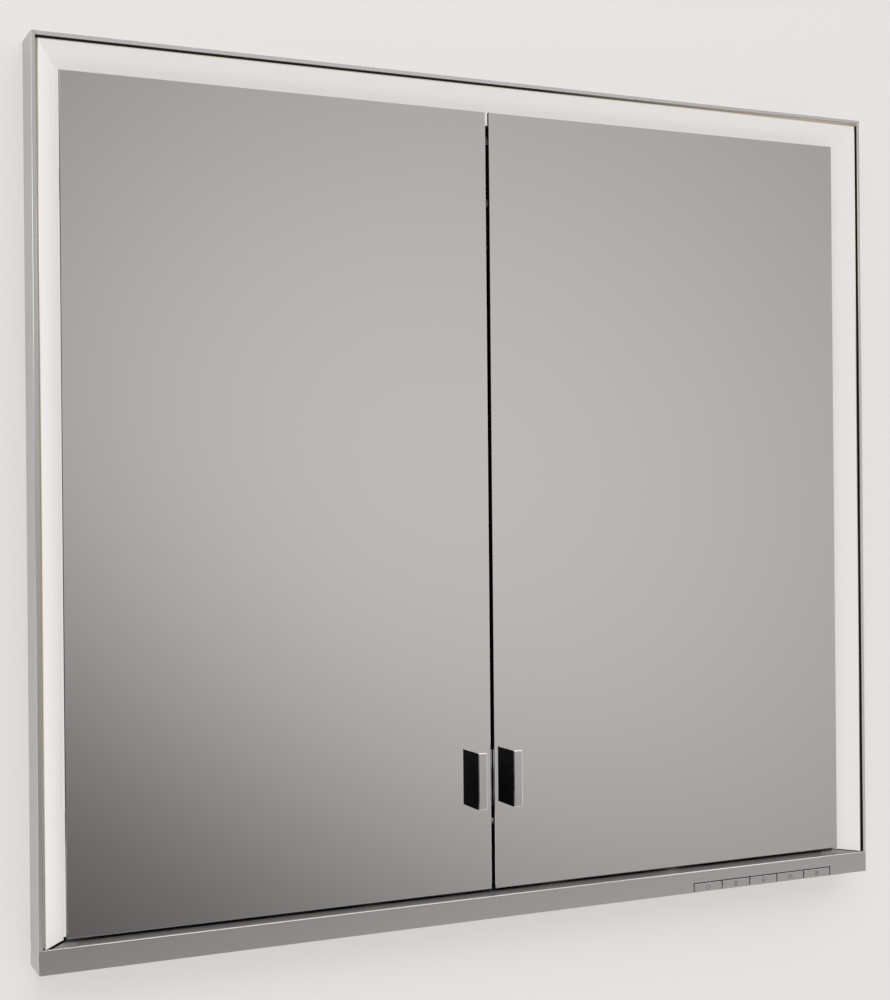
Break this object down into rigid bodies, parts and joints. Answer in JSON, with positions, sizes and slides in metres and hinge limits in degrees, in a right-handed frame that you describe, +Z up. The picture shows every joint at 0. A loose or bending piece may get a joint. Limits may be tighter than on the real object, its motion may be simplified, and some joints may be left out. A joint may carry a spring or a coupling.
{
  "type": "illuminated mirror cabinet",
  "caption": "Illuminated medicine cabinet with mirrored hinged doors, recessed in a wall niche, with a splayed light band, push keys and glass shelves.",
  "frame": {"origin": "on the rear face of the bottom rail, midway between the sides and 6 mm above the frame's lower edge, where the frame rests on the wall", "axes": "+Z up, -Y out of the wall towards the user, +X to the user's right"},
  "size_m": [0.8, 0.1678, 0.735],
  "materials": {
    "frame_aluminium": "fine satin anodised",
    "body_sheet": "matt anodised sheet",
    "light_band_opal": "opal satin acrylic, lit from behind",
    "lamp_strip": "white lamp strip",
    "rear_mirror_glass": "silvered glass",
    "shelf_glass": "clear toughened glass with polished edges",
    "shelf_rail": "satin anodised",
    "lamp_driver": "moulded, fine texture",
    "terminal_block": "moulded",
    "grommet": "matt",
    "socket": "gloss white",
    "key_face": "fine satin anodised",
    "circuit_board": "solder mask",
    "catch": "moulded",
    "door_mirror": "silvered glass with ground edges",
    "handle_chrome": "polished",
    "hinge_steel": "satin"
  },
  "bodies": {
    "cabinet": {"frame_left": "frame_aluminium", "frame_right": "frame_aluminium", "frame_top": "frame_aluminium", "frame_bottom": "frame_aluminium", "body_left": "body_sheet", "body_right": "body_sheet", "body_top": "body_sheet", "body_bottom": "body_sheet", "body_rear": "body_sheet", "light_channel_left": "body_sheet", "light_channel_right": "body_sheet", "light_channel_top": "body_sheet", "service_cover": "body_sheet", "light_band_left": "light_band_opal", "light_band_right": "light_band_opal", "light_band_top": "light_band_opal", "lamp_strip_left": "lamp_strip", "lamp_strip_right": "lamp_strip", "lamp_strip_top": "lamp_strip", "rear_mirror": "rear_mirror_glass", "shelf_lower": "shelf_glass", "shelf_upper": "shelf_glass", "shelf_rail_lower_left": "shelf_rail", "shelf_rail_lower_right": "shelf_rail", "shelf_rail_upper_left": "shelf_rail", "shelf_rail_upper_right": "shelf_rail", "lamp_driver": "lamp_driver", "terminal_block": "terminal_block", "cable_grommet": "grommet", "twin_socket": "socket", "key_board": "circuit_board", "left_catch": "catch", "right_catch": "catch", "left_hinge_lower_bracket": "hinge_steel", "left_hinge_lower_pin": "hinge_steel", "left_hinge_upper_bracket": "hinge_steel", "left_hinge_upper_pin": "hinge_steel", "right_hinge_lower_bracket": "hinge_steel", "right_hinge_lower_pin": "hinge_steel", "right_hinge_upper_bracket": "hinge_steel", "right_hinge_upper_pin": "hinge_steel"},
    "left_door": {"left_door_front_mirror": "door_mirror", "left_door_rear_mirror": "door_mirror", "left_handle": "handle_chrome", "left_handle_clip": "handle_chrome", "left_hinge_lower_leaf": "hinge_steel", "left_hinge_upper_leaf": "hinge_steel"},
    "right_door": {"right_door_front_mirror": "door_mirror", "right_door_rear_mirror": "door_mirror", "right_handle": "handle_chrome", "right_handle_clip": "handle_chrome", "right_hinge_lower_leaf": "hinge_steel", "right_hinge_upper_leaf": "hinge_steel"},
    "power_key": {"power_key": "key_face"},
    "dimmer_key": {"dimmer_key": "key_face"},
    "mirror_light_key": {"mirror_light_key": "key_face"},
    "basin_light_key": {"basin_light_key": "key_face"},
    "demist_key": {"demist_key": "key_face"}
  },
  "joints": [
    {"name": "left_door_hinge", "type": "hinge", "parent": "cabinet", "child": "left_door", "pos_m": [-0.3735, -0.0181, 0.359], "axis": [0, 0, -1], "range_deg": [0, 110]},
    {"name": "right_door_hinge", "type": "hinge", "parent": "cabinet", "child": "right_door", "pos_m": [0.3735, -0.0181, 0.359], "axis": [0, 0, 1], "range_deg": [0, 110]},
    {"name": "power_key_press", "type": "slide", "parent": "cabinet", "child": "power_key", "axis": [0, 1, 0], "range_m": [0, 0.0008], "stiffness_N_per_m": 1500, "springref_m": -0.0004},
    {"name": "dimmer_key_press", "type": "slide", "parent": "cabinet", "child": "dimmer_key", "axis": [0, 1, 0], "range_m": [0, 0.0008], "stiffness_N_per_m": 1500, "springref_m": -0.0004},
    {"name": "mirror_light_key_press", "type": "slide", "parent": "cabinet", "child": "mirror_light_key", "axis": [0, 1, 0], "range_m": [0, 0.0008], "stiffness_N_per_m": 1500, "springref_m": -0.0004},
    {"name": "basin_light_key_press", "type": "slide", "parent": "cabinet", "child": "basin_light_key", "axis": [0, 1, 0], "range_m": [0, 0.0008], "stiffness_N_per_m": 1500, "springref_m": -0.0004},
    {"name": "demist_key_press", "type": "slide", "parent": "cabinet", "child": "demist_key", "axis": [0, 1, 0], "range_m": [0, 0.0008], "stiffness_N_per_m": 1500, "springref_m": -0.0004}
  ]
}
